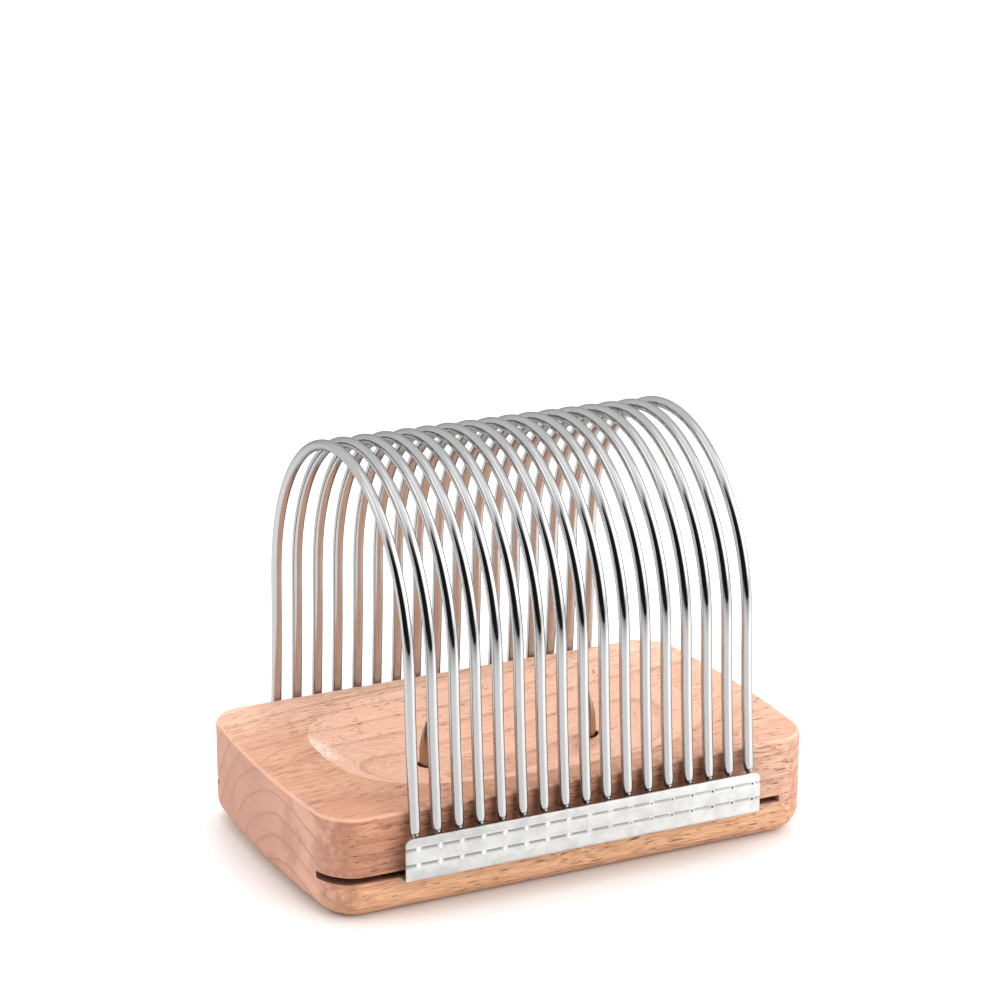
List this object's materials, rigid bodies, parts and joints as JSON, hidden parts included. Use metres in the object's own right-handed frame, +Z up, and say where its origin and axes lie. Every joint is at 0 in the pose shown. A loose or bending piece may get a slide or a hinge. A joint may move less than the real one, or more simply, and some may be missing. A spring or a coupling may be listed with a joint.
{
  "type": "potato slicing guide",
  "caption": "Wooden board with a shallow hollow and upright spikes that hold a potato, under a sliding cage of steel wire arches that guides a knife into even slices.",
  "frame": {"origin": "middle of the board's flat underside, on the surface that it stands on", "axes": "+X along the board and the cage's slide, towards the grooves' closed ends; +Y across the board towards the back plate; +Z up"},
  "size_m": [0.15, 0.1006, 0.117],
  "materials": {
    "pale_wood": "sanded pale hardwood with fine pores, unvarnished",
    "spike_steel": "smooth ground steel",
    "satin_steel": "satin stainless sheet",
    "polished_steel": "polished stainless wire"
  },
  "bodies": {
    "base": {"wooden_base": "pale_wood", "spike_left": "spike_steel", "spike_right": "spike_steel"},
    "cage": {"front_plate": "satin_steel", "back_plate": "satin_steel", "wire_arch_01": "polished_steel", "wire_arch_02": "polished_steel", "wire_arch_03": "polished_steel", "wire_arch_04": "polished_steel", "wire_arch_05": "polished_steel", "wire_arch_06": "polished_steel", "wire_arch_07": "polished_steel", "wire_arch_08": "polished_steel", "wire_arch_09": "polished_steel", "wire_arch_10": "polished_steel", "wire_arch_11": "polished_steel", "wire_arch_12": "polished_steel", "wire_arch_13": "polished_steel", "wire_arch_14": "polished_steel", "wire_arch_15": "polished_steel", "wire_arch_16": "polished_steel", "wire_arch_17": "polished_steel"}
  },
  "joints": [
    {"name": "cage_slide", "type": "slide", "parent": "base", "child": "cage", "axis": [1, 0, 0], "range_m": [-0.13, 0.0091]}
  ]
}
